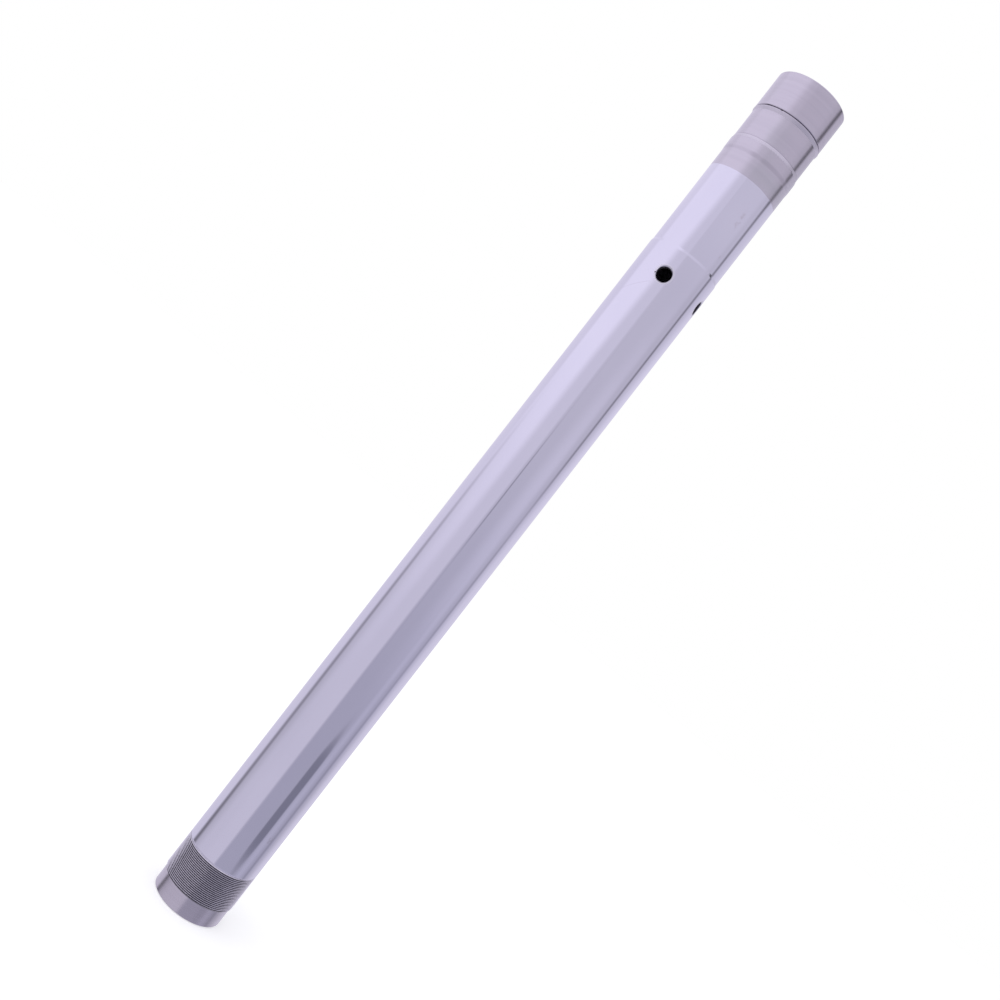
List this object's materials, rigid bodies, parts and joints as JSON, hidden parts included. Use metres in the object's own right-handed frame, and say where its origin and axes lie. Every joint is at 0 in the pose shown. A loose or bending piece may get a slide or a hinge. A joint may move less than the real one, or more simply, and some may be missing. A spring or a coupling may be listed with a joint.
{
  "type": "motorcycle fork tube",
  "caption": "Long chromed steel tube of an upside-down motorcycle fork, with a fine outside thread at one end, a slim neck, a bush seat at the other end and round oil holes.",
  "frame": {"origin": "centre of the threaded end's face, on the tube's axis, which is the lowest point when the tube stands on that end", "axes": "+Z along the axis from the threaded end to the bush end; X and Y each pass through two of the oil holes"},
  "size_m": [0.043, 0.043, 0.548],
  "materials": {
    "tube": "polished hard chrome on the barrel and neck, bare fine-ground steel on the thread, the pilot and the bush end"
  },
  "bodies": {
    "root": {"fork_tube": "tube"}
  },
  "joints": []
}
